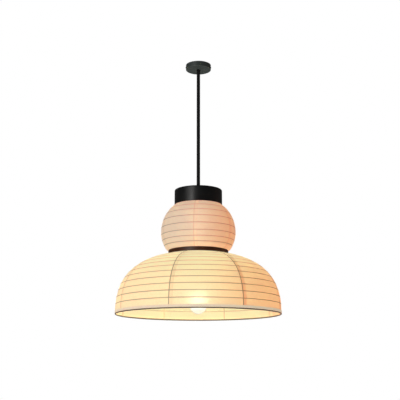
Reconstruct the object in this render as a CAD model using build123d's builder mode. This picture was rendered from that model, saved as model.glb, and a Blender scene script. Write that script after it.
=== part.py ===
from build123d import *

import math
import os

# Paper pendant light: a round canopy on the ceiling, a rod on a hang-straight ball joint, a black
# cap, a small paper globe, a black neck ring, a wide paper dome and an opal bulb inside it.
# Millimetres, +Z up. The origin is on the ceiling face, at the centre of the ceiling plate.
# Azimuths are in degrees, 0 towards -Y (the front) and growing towards +X.

# ---------------------------------------------------------------- overall sizes
CANOPY_D = 96.0
CANOPY_H = 19.0
ROD_DROP = 477.0  # rod that shows between the canopy and the cap
CAP_D = 177.0
CAP_H = 57.0
GLOBE_D = 276.0
GLOBE_H = 171.0
RING_D = 220.0
RING_H = 14.0
DOME_D = 600.0
DOME_H = 220.0

# ---------------------------------------------------------------- clearances
THREAD_GAP = 0.04  # between a thread's outside and the hole that it is screwed into
SLIP_GAP = 0.3  # between pieces that drop into each other
TOUCH_GAP = 0.05  # between wires, paper and the plates that they are welded, glued or hooked to
PAPER_SEAT_GAP = 1.0  # between the paper and the black rim that sits over it
PLATE_ROOM = 2.8  # between the ceiling plate and the canopy's wall
CAP_PAPER_ROOM = 3.3  # between the globe's neck and the cap's wall
RING_PAPER_ROOM = 4.0  # between the dome's neck and the ring's lip
SPIDER_PAPER_GAP = 1.3  # between the dome's top edge and the spider over it
FLEX_END_GAP = 0.6  # where the flex ends at the ball's centre, so that it can tilt

# ---------------------------------------------------------------- ceiling end
PLATE_T = 2.0
SLOT_SPACING = 60.0
SLOT_LENGTH = 14.0
SLOT_WIDTH = 4.6
MAINS_HOLE_D = 12.0
MAINS_HOLE_Y = -27.0
EAR_T = 1.6
EAR_W = 12.0
EAR_H = 11.0
EAR_INSET = 0.5  # from the plate's edge
CANOPY_WALL = 1.2
CANOPY_EDGE = 1.5
SIDE_SCREW_D = 3.0
SIDE_SCREW_DROP = 9.0  # below the ceiling
SIDE_SCREW_HEAD_D = 5.4
SIDE_SCREW_HEAD_T = 1.4
SIDE_SCREW_POINT = 2.0  # past the ear

# ---------------------------------------------------------------- hang-straight ball joint
BALL_D = 15.0
BALL_DROP = 13.0  # ball centre below the ceiling
BALL_FLAT = 5.5  # from the ball's centre to its top flat
BALL_FLEX_ROOM = 1.2  # of the ball's bore over the flex
LINER_T = 0.9
LINER_ABOVE = 3.0
LINER_BELOW = 4.2
SEAT_BELOW = 4.6
SEAT_WALL = 3.4
SEAT_LAND = 0.5  # width of the pressed land round the seat's top
SEAT_SLOT_W = 10.0
SEAT_SLOT_RUN = 4.0  # past the seat
SWING_ROOM = 1.3  # around the rod in the canopy's hole
ROD_TOP_GAP = 1.0  # between the seat and the top of the rod

# ---------------------------------------------------------------- rod, stem and fasteners
THREAD_D = 10.0  # lamp thread on the ball's tail and on the inner stem
STEM_FLEX_ROOM = 1.0  # of the stem's bore over the flex
ROD_D = 13.0
THREAD_ENGAGED = 14.0
NUT_AF = 14.0
NUT_T = 4.0
WASHER_D = 24.0
WASHER_T = 1.5
FLEX_D = 6.0
CORE_D = 1.6
CORE_PITCH_R = 1.1
CORE_LAYER = 1.9  # between the upper pair of cores and the one that turns below them
CORE_BENDS = (2.6, 2.0, 2.0)
CORE_PLATE_GAP = 0.5
CORE_SEAT_GAP = 1.5
CORE_DIP = 0.4
CORE_LEAD_IN = 3.0  # straight length before the terminal block

# ---------------------------------------------------------------- cap, ring and spiders
CAP_WALL = 1.2
CAP_TOP_T = 2.0
CAP_EDGE = 4.0
RING_SECTION = 16.0  # radial width of the neck ring
RING_LIP = 4.0  # the outer lip that hides the dome's top edge
RING_EDGE = 1.5
SPIDER_T = 2.0
SPIDER_STRIP = 14.0
SPIDER_ARM_W = 12.0
SPIDER_HUB_D = 30.0
SPIDER_ARMS = 3
SPIDER_ARM_SET = 2.0  # from the strip's outside to the end of an arm
UPPER_ARM_AZIMUTH = 25.0
NECK_ARM_AZIMUTH = 95.0
HOOK_W = 8.0
HOOK_T = 1.5
RING_SCREW_D = 3.5
RING_SCREW_HEAD_D = 6.0
RING_SCREW_HEAD_T = 1.8
RING_SCREW_DEPTH = 7.0
RING_SCREW_INSET = 2.5  # from the ring's inside to the screws
PILOT_EXTRA = 0.5  # depth of a hole past its screw

# ---------------------------------------------------------------- paper and wire
PAPER_T = 1.0
HOOP_D = 1.6
UPRIGHT_D = 2.0
UPRIGHT_BEND = 60.0
RIM_WIRE_D = 4.0
HEM_H = 9.0
HEM_T = 0.5
DOME_POWER = 2.6  # roundness of the dome's outline: 2 is an ellipse
DOME_BANDS = 12  # bands of equal width above the rim band
RIM_BAND_TOP = 36.0
GLOBE_UPPER_POWER = 2.13
GLOBE_LOWER_POWER = 1.83
GLOBE_BELT = 0.383  # height of the globe's widest line, as a share of its height
GLOBE_HEEL = 0.18  # how far the globe stands out over the ring, as a share of the step between them
GLOBE_HOOPS = (0.10, 0.205, 0.325, 0.48, 0.64, 0.78, 0.90)  # hoop heights, shares of its height
# The gores are cut and hung by hand, so the seams are a few degrees off even spacing.
DOME_SEAMS = (-19, 30, 73, 116, 160, 207, 251, 296)
GLOBE_SEAMS = (-7, 56, 116, 174, 232, 292)

# ---------------------------------------------------------------- lamp holder and bulb
BULB_INSET = 3.0  # lowest point of the bulb above the rim
BULB_D = 60.0
BULB_GLASS_T = 1.0
BULB_GLASS_H = 70.0
BULB_NECK_D = 30.0
BULB_PLUG = 1.5  # how far the collar reaches into the glass
COLLAR_H = 13.0
SCREW_CAP_D = 26.2
SCREW_CAP_H = 22.0
SCREW_CAP_WALL = 0.6
SCREW_CAP_SLOPE = 3.0
SCREW_CAP_TOP_T = 4.0
TIP_H = 3.0
TIP_D = 9.0
TIP_FLARE = 3.0
TIP_PAD_T = 1.0
TIP_TAPER = 35.0
LED_BOARD_INSET = 4.0  # inside the bulb's neck
LED_BOARD_T = 1.6
HOLDER_WALL = 2.0
HOLDER_MOUTH_DROP = 2.0  # the holder's mouth, below the top of the bulb's collar
SHELL_GAP = 0.2
SHELL_T = 0.4
SHELL_INSET = 1.0
INSERT_WALL = 4.2
INSERT_GAP = 0.5  # above the bulb's collar
INSERT_TOP_T = 9.0
CONTACT_ROOM = 1.5
CONTACT_D = 7.0
CONTACT_T = 0.6
CONTACT_PIN_D = 3.0
HOLDER_CAP_H = 22.0
HOLDER_CAP_NECK_D = 20.0
HOLDER_CAP_NECK_H = 8.0
HOLDER_CAP_BAND = 5.0
SHEATH_STOP = 6.0  # where the flex's sheath ends, above the insert
GRIP_D = 14.0
GRIP_T = 5.0
GRIP_LIFT = 1.0

# ---------------------------------------------------------------- terminal block
BLOCK_X = 26.0
BLOCK_Y = 15.0
BLOCK_Z = 12.0
BLOCK_GAP = 8.1  # from the seat to the block
BLOCK_EDGE = 1.5
BLOCK_SCREW_STOP = 0.5  # short of the ceiling
POLE_PITCH = 8.0
POLES = 3
CORE_HOLE_D = 3.0
CORE_HOLE_LIFT = 1.0  # above the block's middle
TERMINAL_SCREW_D = 3.0
TERMINAL_SCREW_L = 4.5

# ---------------------------------------------------------------- levels and radii from the above
canopy_base_z = -CANOPY_H
cap_top_z = canopy_base_z - ROD_DROP
cap_base_z = cap_top_z - CAP_H
ring_top_z = cap_base_z - GLOBE_H
ring_base_z = ring_top_z - RING_H
rim_z = ring_base_z - DOME_H
ball_z = -BALL_DROP

canopy_r = CANOPY_D / 2
plate_r = canopy_r - CANOPY_WALL - PLATE_ROOM
ear_r = plate_r - EAR_INSET
cap_r = CAP_D / 2
globe_r = GLOBE_D / 2
ring_r = RING_D / 2
dome_r = DOME_D / 2
thread_r = THREAD_D / 2
thread_hole_r = thread_r + THREAD_GAP
rod_r = ROD_D / 2
ball_r = BALL_D / 2
liner_r = ball_r + TOUCH_GAP + LINER_T
socket_r = liner_r + TOUCH_GAP
seat_base_z = ball_z - SEAT_BELOW
# Clear of the seat, and below the place where the ball runs into its tail.
rod_top_z = min(seat_base_z - ROD_TOP_GAP, ball_z - math.sqrt(ball_r**2 - thread_r**2))
seat_r = socket_r + SEAT_WALL
block_front_y = seat_r + BLOCK_GAP
globe_neck_r = cap_r - CAP_WALL - CAP_PAPER_ROOM
dome_neck_r = ring_r - RING_LIP - RING_PAPER_ROOM
screw_cap_r = SCREW_CAP_D / 2
shell_in_r = screw_cap_r + SHELL_GAP
shell_out_r = shell_in_r + SHELL_T
insert_r = shell_out_r + TOUCH_GAP + INSERT_WALL
holder_r = insert_r + TOUCH_GAP + HOLDER_WALL
bulb_r = BULB_D / 2
bulb_neck_r = BULB_NECK_D / 2
led_board_r = bulb_neck_r - LED_BOARD_INSET


# ---------------------------------------------------------------- outlines
def rise(radius, half_width, power):
    """Height of a superellipse at a radius, as a share of its half height."""
    return (1 - (radius / half_width) ** power) ** (1 / power)


def equal_bands(point_at, first, last, bands):
    """Points that cut the curve point_at(t), for t from first to last, into bands of equal width."""
    steps = 2000
    samples = [point_at(first + (last - first) * i / steps) for i in range(steps + 1)]
    travelled = [0.0]
    for one, other in zip(samples, samples[1:]):
        travelled.append(travelled[-1] + math.dist(one, other))
    marks = [travelled[-1] * i / bands for i in range(bands + 1)]
    return [samples[min(range(steps + 1), key=lambda i: abs(travelled[i] - mark))] for mark in marks]


def dome_outline():
    """Outside corners of the dome's paper (radius, z), one at each hoop, from the rim to the neck."""
    apex = (DOME_H - PAPER_SEAT_GAP) / rise(ring_r, dome_r, DOME_POWER)

    def point_at(angle):
        radius = dome_r * math.cos(angle) ** (2 / DOME_POWER)
        return radius, rim_z + apex * math.sin(angle) ** (2 / DOME_POWER)

    def angle_of_height(height):
        return math.asin((height / apex) ** (DOME_POWER / 2))

    neck = math.acos((dome_neck_r / dome_r) ** (DOME_POWER / 2))
    edge = point_at(angle_of_height(RIM_WIRE_D + TOUCH_GAP))
    return [edge] + equal_bands(point_at, angle_of_height(RIM_BAND_TOP), neck, DOME_BANDS)


def globe_outline():
    """Outside corners of the globe's paper (radius, z), one at each hoop, from the ring to the cap."""
    belt_z = ring_top_z + GLOBE_BELT * GLOBE_H
    heel_r = ring_r + GLOBE_HEEL * (globe_r - ring_r)
    upper = (cap_base_z - PAPER_SEAT_GAP / 2 - belt_z) / rise(cap_r, globe_r, GLOBE_UPPER_POWER)
    lower = (belt_z - ring_top_z) / rise(heel_r, globe_r, GLOBE_LOWER_POWER)
    corners = [(ring_r - PAPER_SEAT_GAP, ring_top_z + TOUCH_GAP)]
    for share in GLOBE_HOOPS:
        z = ring_top_z + share * GLOBE_H
        if z > belt_z:
            corners.append((globe_r * rise((z - belt_z) / upper, 1, GLOBE_UPPER_POWER), z))
        else:
            corners.append((globe_r * rise((belt_z - z) / lower, 1, GLOBE_LOWER_POWER), z))
    neck_z = belt_z + upper * rise(globe_neck_r, globe_r, GLOBE_UPPER_POWER)
    corners.append((globe_neck_r, neck_z))
    return corners


def inset(corners, depth):
    """The corners of an outline that runs upwards, moved in towards the axis, square to it."""
    moved = []
    for i, (radius, z) in enumerate(corners):
        before, after = corners[max(i - 1, 0)], corners[min(i + 1, len(corners) - 1)]
        run, climb = after[0] - before[0], after[1] - before[1]
        length = math.hypot(run, climb)
        moved.append((radius - depth * climb / length, z + depth * run / length))
    return moved


def meridian(azimuth):
    """The upright plane through the axis at an azimuth: local x points outwards, local y up."""
    angle = math.radians(azimuth - 90)
    along, across = math.cos(angle), math.sin(angle)
    return Plane(origin=(0, 0, 0), x_dir=(along, across, 0), z_dir=(across, -along, 0))


def save(piece, name):
    piece.part.label = name
    export_step(piece.part, f"parts/{name}.step")


os.makedirs("parts", exist_ok=True)
dome_corners = dome_outline()
globe_corners = globe_outline()

# ================================================================ ceiling end, fixed
with BuildPart() as ceiling_plate:
    with BuildSketch(Plane.XY.offset(-PLATE_T)):
        Circle(plate_r)
        with GridLocations(SLOT_SPACING, 0, 2, 1):
            SlotOverall(SLOT_LENGTH, SLOT_WIDTH, mode=Mode.SUBTRACT)
        with Locations((0, MAINS_HOLE_Y)):
            Circle(MAINS_HOLE_D / 2, mode=Mode.SUBTRACT)
        Circle(seat_r + SLIP_GAP, mode=Mode.SUBTRACT)
        with Locations((POLE_PITCH / 2, block_front_y + BLOCK_Y / 2)):
            Circle(TERMINAL_SCREW_D / 2 + THREAD_GAP, mode=Mode.SUBTRACT)
    extrude(amount=PLATE_T)
    with BuildSketch(Plane.XY.offset(-PLATE_T - EAR_H)):
        with PolarLocations(ear_r - EAR_T / 2, 2):
            Rectangle(EAR_T, EAR_W)
    extrude(amount=EAR_H)
    with Locations((0, 0, -SIDE_SCREW_DROP)):
        with Locations(Rotation(0, 90, 0)):
            Cylinder(SIDE_SCREW_D / 2 + THREAD_GAP, 2 * plate_r, mode=Mode.SUBTRACT)
save(ceiling_plate, "ceiling_plate")

# The seat is pressed flush into the plate. Its slot lets the cores out sideways.
with BuildPart() as swivel_seat:
    with BuildSketch(Plane.XY.offset(seat_base_z)):
        Circle(seat_r)
    extrude(amount=-seat_base_z)
    with BuildSketch(Plane.XY):
        Circle(seat_r + SLIP_GAP)
        Circle(seat_r - SEAT_LAND, mode=Mode.SUBTRACT)
    extrude(amount=-PLATE_T)
    with Locations((0, 0, ball_z)):
        Sphere(socket_r, mode=Mode.SUBTRACT)
    with BuildSketch(Plane.XY.offset(ball_z)):
        Circle(socket_r)
    extrude(amount=BALL_DROP, mode=Mode.SUBTRACT)
    with BuildSketch(Plane.XY.offset(ball_z + BALL_FLAT)):
        with Locations((0, (seat_r + SEAT_SLOT_RUN) / 2)):
            Rectangle(SEAT_SLOT_W, seat_r + SEAT_SLOT_RUN)
    extrude(amount=BALL_DROP - BALL_FLAT - PLATE_T, mode=Mode.SUBTRACT)
save(swivel_seat, "swivel_seat")

with BuildPart() as canopy:
    with BuildSketch(Plane.XY.offset(canopy_base_z)):
        Circle(canopy_r)
    extrude(amount=CANOPY_H)
    fillet(canopy.edges().group_by(Axis.Z)[0], radius=CANOPY_EDGE)
    with BuildSketch(Plane.XY.offset(canopy_base_z + CANOPY_WALL)):
        Circle(canopy_r - CANOPY_WALL)
    extrude(amount=CANOPY_H - CANOPY_WALL, mode=Mode.SUBTRACT)
    with BuildSketch(Plane.XY.offset(canopy_base_z)):
        Circle(rod_r + SWING_ROOM)
    extrude(amount=CANOPY_WALL, mode=Mode.SUBTRACT)
    with Locations((0, 0, -SIDE_SCREW_DROP)):
        with Locations(Rotation(0, 90, 0)):
            Cylinder(SIDE_SCREW_D / 2 + SLIP_GAP / 2, CANOPY_D, mode=Mode.SUBTRACT)
save(canopy, "canopy")

with BuildPart() as canopy_screws:
    side_screw_tip = ear_r - EAR_T - SIDE_SCREW_POINT
    for side in (1, -1):
        plane = Plane(origin=(0, 0, 0), x_dir=(0, side, 0), z_dir=(side, 0, 0))
        with BuildSketch(plane.offset(side_screw_tip)):
            with Locations((0, -SIDE_SCREW_DROP)):
                Circle(SIDE_SCREW_D / 2)
        extrude(amount=canopy_r + TOUCH_GAP - side_screw_tip)
        with BuildSketch(plane.offset(canopy_r + TOUCH_GAP)):
            with Locations((0, -SIDE_SCREW_DROP)):
                Circle(SIDE_SCREW_HEAD_D / 2)
        extrude(amount=SIDE_SCREW_HEAD_T)
save(canopy_screws, "canopy_screws")

# ---------------------------------------------------------------- terminal block and cores
block_mid_y = block_front_y + BLOCK_Y / 2
block_base_z = -PLATE_T - BLOCK_Z
core_hole_z = -PLATE_T - BLOCK_Z / 2 + CORE_HOLE_LIFT
pole_xs = [POLE_PITCH * (i - (POLES - 1) / 2) for i in range(POLES)]
terminal_screw_ys = (block_mid_y - BLOCK_Y / 4, block_mid_y + BLOCK_Y / 4)
fixing_xy = (POLE_PITCH / 2, block_mid_y)

with BuildPart() as terminal_block:
    with BuildSketch(Plane.XY.offset(block_base_z)):
        with Locations((0, block_mid_y)):
            RectangleRounded(BLOCK_X, BLOCK_Y, BLOCK_EDGE)
        with Locations(*[(x, y) for x in pole_xs for y in terminal_screw_ys]):
            Circle(TERMINAL_SCREW_D / 2 + THREAD_GAP, mode=Mode.SUBTRACT)
        with Locations(fixing_xy):
            Circle(TERMINAL_SCREW_D / 2 + THREAD_GAP, mode=Mode.SUBTRACT)
    extrude(amount=BLOCK_Z)
    with BuildSketch(Plane.XZ.offset(-block_front_y)):
        with Locations(*[(x, core_hole_z) for x in pole_xs]):
            Circle(CORE_HOLE_D / 2)
    extrude(amount=-BLOCK_Y, mode=Mode.SUBTRACT)
save(terminal_block, "terminal_block")

with BuildPart() as terminal_screws:
    with BuildSketch(Plane.XY.offset(core_hole_z - CORE_D / 2 - TOUCH_GAP)):
        with Locations(*[(x, y) for x in pole_xs for y in terminal_screw_ys]):
            Circle(TERMINAL_SCREW_D / 2)
    extrude(amount=-TERMINAL_SCREW_L)
save(terminal_screws, "terminal_screws")

with BuildPart() as block_screw:
    with BuildSketch(Plane.XY.offset(block_base_z - TOUCH_GAP)):
        with Locations(fixing_xy):
            Circle(TERMINAL_SCREW_D / 2)
    extrude(amount=BLOCK_Z + PLATE_T - BLOCK_SCREW_STOP)
    with BuildSketch(Plane.XY.offset(block_base_z - TOUCH_GAP)):
        with Locations(fixing_xy):
            Circle(SIDE_SCREW_HEAD_D / 2)
    extrude(amount=-SIDE_SCREW_HEAD_T)
save(block_screw, "block_screw")


def core(azimuth, pole_x, layer):
    """One insulated core, from the flex's end at the ball's centre to its pole in the block."""
    side = math.radians(azimuth)
    x, y = CORE_PITCH_R * math.sin(side), -CORE_PITCH_R * math.cos(side)
    turn_z = -PLATE_T - CORE_D / 2 - CORE_PLATE_GAP - layer
    route_points = [
        (x, y, ball_z + FLEX_END_GAP / 2),
        (x, y, turn_z),
        (pole_x / 3, seat_r + CORE_SEAT_GAP, turn_z - CORE_DIP),
        (pole_x, block_front_y - CORE_LEAD_IN, core_hole_z),
        (pole_x, block_mid_y + BLOCK_Y / 4, core_hole_z),
    ]
    with BuildPart() as wire:
        with BuildLine() as route:
            FilletPolyline(*route_points, radius=CORE_BENDS)
        with BuildSketch(Plane(origin=route.wire() @ 0, z_dir=route.wire() % 0)):
            Circle(CORE_D / 2)
        sweep(path=route.wire())
    return wire


save(core(-60, pole_xs[0], 0), "neutral_core")
save(core(180, pole_xs[1], CORE_LAYER), "earth_core")
save(core(60, pole_xs[2], 0), "live_core")

# ================================================================ ball joint
with BuildPart() as swivel_liner:
    with Locations((0, 0, ball_z)):
        Sphere(liner_r)
        Sphere(ball_r + TOUCH_GAP, mode=Mode.SUBTRACT)
    split(bisect_by=Plane.XY.offset(ball_z + LINER_ABOVE), keep=Keep.BOTTOM)
    split(bisect_by=Plane.XY.offset(ball_z - LINER_BELOW), keep=Keep.TOP)
save(swivel_liner, "swivel_liner")

with BuildPart() as swivel_ball:
    with Locations((0, 0, ball_z)):
        Sphere(ball_r)
    split(bisect_by=Plane.XY.offset(ball_z + BALL_FLAT), keep=Keep.BOTTOM)
    with BuildSketch(Plane.XY.offset(ball_z)):
        Circle(thread_r)
    extrude(amount=rod_top_z - THREAD_ENGAGED - ball_z)
    with BuildSketch(Plane.XY.offset(ball_z + BALL_FLAT)):
        Circle((FLEX_D + BALL_FLEX_ROOM) / 2)
    extrude(amount=rod_top_z - THREAD_ENGAGED - ball_z - BALL_FLAT, mode=Mode.SUBTRACT)
save(swivel_ball, "swivel_ball")

# ================================================================ rod and inner stem
with BuildPart() as suspension_rod:
    with BuildSketch(Plane.XY.offset(rod_top_z)):
        Circle(rod_r)
        Circle(thread_hole_r, mode=Mode.SUBTRACT)
    extrude(amount=cap_top_z + TOUCH_GAP - rod_top_z)
save(suspension_rod, "suspension_rod")

bulb_base_z = rim_z + BULB_INSET
glass_top_z = bulb_base_z + BULB_GLASS_H
collar_top_z = glass_top_z + COLLAR_H
screw_cap_top_z = collar_top_z + SCREW_CAP_H
tip_top_z = screw_cap_top_z + TIP_H
holder_mouth_z = collar_top_z - HOLDER_MOUTH_DROP
insert_base_z = collar_top_z + INSERT_GAP
insert_ceiling_z = tip_top_z + CONTACT_ROOM
insert_top_z = insert_ceiling_z + INSERT_TOP_T
holder_top_z = insert_top_z + HOLDER_CAP_H
stem_base_z = holder_top_z - HOLDER_CAP_NECK_H
flex_base_z = insert_top_z + SHEATH_STOP

with BuildPart() as inner_stem:
    with BuildSketch(Plane.XY.offset(stem_base_z)):
        Circle(thread_r)
        Circle((FLEX_D + STEM_FLEX_ROOM) / 2, mode=Mode.SUBTRACT)
    extrude(amount=cap_top_z + THREAD_ENGAGED - stem_base_z)
save(inner_stem, "inner_stem")

with BuildPart() as supply_flex:
    with BuildSketch(Plane.XY.offset(flex_base_z)):
        Circle(FLEX_D / 2)
    extrude(amount=ball_z - FLEX_END_GAP / 2 - flex_base_z)
save(supply_flex, "supply_flex")

# ================================================================ cap
with BuildPart() as cap:
    with BuildSketch(Plane.XY.offset(cap_base_z)):
        Circle(cap_r)
    extrude(amount=CAP_H)
    fillet(cap.edges().group_by(Axis.Z)[-1], radius=CAP_EDGE)
    with BuildSketch(Plane.XY.offset(cap_base_z)):
        Circle(cap_r - CAP_WALL)
    extrude(amount=CAP_H - CAP_TOP_T, mode=Mode.SUBTRACT)
    fillet(cap.edges().group_by(Axis.Z)[-3], radius=CAP_EDGE - CAP_WALL)
    with BuildSketch(Plane.XY.offset(cap_top_z)):
        Circle(thread_r + SLIP_GAP)
    extrude(amount=-CAP_TOP_T, mode=Mode.SUBTRACT)
save(cap, "cap")

with BuildPart() as cap_washer:
    with BuildSketch(Plane.XY.offset(cap_top_z - CAP_TOP_T - TOUCH_GAP)):
        Circle(WASHER_D / 2)
        Circle(thread_r + SLIP_GAP, mode=Mode.SUBTRACT)
    extrude(amount=-WASHER_T)
save(cap_washer, "cap_washer")

# ================================================================ spiders, neck ring and nuts
upper_spider_z = globe_corners[-1][1] + TOUCH_GAP  # underside
neck_spider_z = dome_corners[-1][1] + SPIDER_PAPER_GAP  # underside
rebate_z = neck_spider_z + SPIDER_T + TOUCH_GAP


def spider(base_z, outer_r, hoop, first_arm):
    """A pressed spider: hub, arms and strip, with a hook at the end of each arm under a hoop."""
    hoop_r, hoop_z = hoop
    foot_z = hoop_z - HOOP_D / 2 - TOUCH_GAP - HOOK_T
    leg_r = hoop_r - HOOP_D / 2 - 3 * TOUCH_GAP - HOOK_T
    arm_length = outer_r - SPIDER_ARM_SET
    with BuildPart() as web:
        with BuildSketch(Plane.XY.offset(base_z)):
            Circle(outer_r)
            Circle(outer_r - SPIDER_STRIP, mode=Mode.SUBTRACT)
            with PolarLocations(arm_length / 2, SPIDER_ARMS, start_angle=first_arm - 90):
                Rectangle(arm_length, SPIDER_ARM_W)
            Circle(SPIDER_HUB_D / 2)
            Circle(thread_r + SLIP_GAP / 2, mode=Mode.SUBTRACT)
        extrude(amount=SPIDER_T)
        with BuildSketch(Plane.XY.offset(foot_z)):
            with PolarLocations(leg_r + HOOK_T / 2, SPIDER_ARMS, start_angle=first_arm - 90):
                Rectangle(HOOK_T, HOOK_W)
        extrude(amount=base_z - foot_z)
        with BuildSketch(Plane.XY.offset(foot_z)):
            with PolarLocations((leg_r + hoop_r) / 2, SPIDER_ARMS, start_angle=first_arm - 90):
                Rectangle(hoop_r - leg_r, HOOK_W)
        extrude(amount=HOOK_T)
    return web


globe_top_hoop = inset(globe_corners, PAPER_T + TOUCH_GAP + HOOP_D / 2)[-1]
dome_top_hoop = inset(dome_corners, PAPER_T + TOUCH_GAP + HOOP_D / 2)[-1]
neck_strip_r = ring_r - RING_LIP - SLIP_GAP
upper_spider = spider(upper_spider_z, globe_neck_r, globe_top_hoop, UPPER_ARM_AZIMUTH)
save(upper_spider, "upper_spider")
ring_screw_r = ring_r - RING_SECTION + RING_SCREW_INSET
ring_screw_azimuth = NECK_ARM_AZIMUTH + 180 / SPIDER_ARMS

neck_spider = spider(neck_spider_z, neck_strip_r, dome_top_hoop, NECK_ARM_AZIMUTH)
with BuildPart() as drilled_neck_spider:
    add(neck_spider.part)
    with BuildSketch(Plane.XY.offset(neck_spider_z)):
        with PolarLocations(ring_screw_r, SPIDER_ARMS, start_angle=ring_screw_azimuth - 90):
            Circle(RING_SCREW_D / 2 + SLIP_GAP / 2)
    extrude(amount=SPIDER_T, mode=Mode.SUBTRACT)
save(drilled_neck_spider, "neck_spider")

with BuildPart() as neck_ring:
    with BuildSketch(Plane.XY.offset(ring_base_z)):
        Circle(ring_r)
        Circle(ring_r - RING_SECTION, mode=Mode.SUBTRACT)
    extrude(amount=RING_H)
    fillet(neck_ring.edges().filter_by(GeomType.CIRCLE).group_by(SortBy.RADIUS)[-1], radius=RING_EDGE)
    with BuildSketch(Plane.XY.offset(ring_base_z)):
        Circle(ring_r - RING_LIP)
    extrude(amount=rebate_z - ring_base_z, mode=Mode.SUBTRACT)
    with BuildSketch(Plane.XY.offset(rebate_z)):
        with PolarLocations(ring_screw_r, SPIDER_ARMS, start_angle=ring_screw_azimuth - 90):
            Circle(RING_SCREW_D / 2 + THREAD_GAP)
    extrude(amount=RING_SCREW_DEPTH + PILOT_EXTRA, mode=Mode.SUBTRACT)
save(neck_ring, "neck_ring")

with BuildPart() as ring_screws:
    with BuildSketch(Plane.XY.offset(neck_spider_z - TOUCH_GAP)):
        with PolarLocations(ring_screw_r, SPIDER_ARMS, start_angle=ring_screw_azimuth - 90):
            Circle(RING_SCREW_D / 2)
    extrude(amount=SPIDER_T + RING_SCREW_DEPTH)
    with BuildSketch(Plane.XY.offset(neck_spider_z - TOUCH_GAP)):
        with PolarLocations(ring_screw_r, SPIDER_ARMS, start_angle=ring_screw_azimuth - 90):
            Circle(RING_SCREW_HEAD_D / 2)
    extrude(amount=-RING_SCREW_HEAD_T)
save(ring_screws, "ring_screws")

nut_bases = (
    cap_top_z - CAP_TOP_T - WASHER_T - 2 * TOUCH_GAP - NUT_T,
    upper_spider_z + SPIDER_T + TOUCH_GAP,
    upper_spider_z - TOUCH_GAP - NUT_T,
    neck_spider_z + SPIDER_T + TOUCH_GAP,
    neck_spider_z - TOUCH_GAP - NUT_T,
)
with BuildPart() as stem_nuts:
    for nut_base_z in nut_bases:
        with BuildSketch(Plane.XY.offset(nut_base_z)):
            RegularPolygon(NUT_AF / 2, 6, major_radius=False)
            Circle(thread_hole_r, mode=Mode.SUBTRACT)
        extrude(amount=NUT_T)
save(stem_nuts, "stem_nuts")


# ================================================================ paper shades on wire frames
def gore(corners, seams, index):
    """One paper gore: the skin between a seam and the next, creased at each hoop."""
    start = seams[index]
    end = seams[(index + 1) % len(seams)]
    with BuildPart() as sheet:
        with BuildSketch(meridian(start)):
            with BuildLine():
                Polyline(*corners, *reversed(inset(corners, PAPER_T)), close=True)
            make_face()
        revolve(axis=Axis.Z, revolution_arc=(end - start) % 360)
    return sheet


def hoops(corners):
    """The level wire hoops behind the paper, one at each of its corners."""
    with BuildPart() as rings:
        for radius, z in inset(corners, PAPER_T + TOUCH_GAP + HOOP_D / 2):
            with Locations((0, 0, z)):
                Torus(radius, HOOP_D / 2)
    return rings


def uprights(corners, seams):
    """The bent wires inside the hoops, one behind each seam."""
    line = inset(corners, PAPER_T + HOOP_D + 2 * TOUCH_GAP + UPRIGHT_D / 2)
    with BuildPart() as wires:
        for azimuth in seams:
            with BuildLine(meridian(azimuth)) as route:
                FilletPolyline(*line, radius=UPRIGHT_BEND)
            with BuildSketch(Plane(origin=route.wire() @ 0, z_dir=route.wire() % 0)):
                Circle(UPRIGHT_D / 2)
            sweep(path=route.wire())
    return wires


for gore_number in range(len(GLOBE_SEAMS)):
    save(gore(globe_corners, GLOBE_SEAMS, gore_number), f"globe_gore_{gore_number + 1}")
for gore_number in range(len(DOME_SEAMS)):
    save(gore(dome_corners, DOME_SEAMS, gore_number), f"dome_gore_{gore_number + 1}")

save(hoops(globe_corners), "globe_hoops")
save(hoops(dome_corners[1:]), "dome_hoops")
save(uprights(globe_corners, GLOBE_SEAMS), "globe_uprights")
save(uprights(dome_corners, DOME_SEAMS), "dome_uprights")

with BuildPart() as rim_hoop:
    rim_wire_r = dome_r - RIM_WIRE_D / 2
    with Locations((0, 0, rim_z + RIM_WIRE_D / 2)):
        Torus(rim_wire_r, RIM_WIRE_D / 2)
save(rim_hoop, "rim_hoop")

with BuildPart() as hem_tape:
    hem_foot = dome_corners[0]
    hem_slope = (dome_corners[1][0] - hem_foot[0]) / (dome_corners[1][1] - hem_foot[1])
    hem_head = (hem_foot[0] + HEM_H * hem_slope, hem_foot[1] + HEM_H)
    with BuildSketch(Plane.XZ):
        with BuildLine():
            Polyline(
                (hem_foot[0] + TOUCH_GAP, hem_foot[1]),
                (hem_foot[0] + TOUCH_GAP + HEM_T, hem_foot[1]),
                (hem_head[0] + TOUCH_GAP + HEM_T, hem_head[1]),
                (hem_head[0] + TOUCH_GAP, hem_head[1]),
                close=True,
            )
        make_face()
    revolve(axis=Axis.Z)
save(hem_tape, "hem_tape")

# ================================================================ lamp holder
with BuildPart() as holder_shell:
    with BuildSketch(Plane.XY.offset(insert_base_z + SHELL_INSET)):
        Circle(shell_out_r)
        Circle(shell_in_r, mode=Mode.SUBTRACT)
    extrude(amount=screw_cap_top_z - insert_base_z)
save(holder_shell, "holder_shell")

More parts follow.
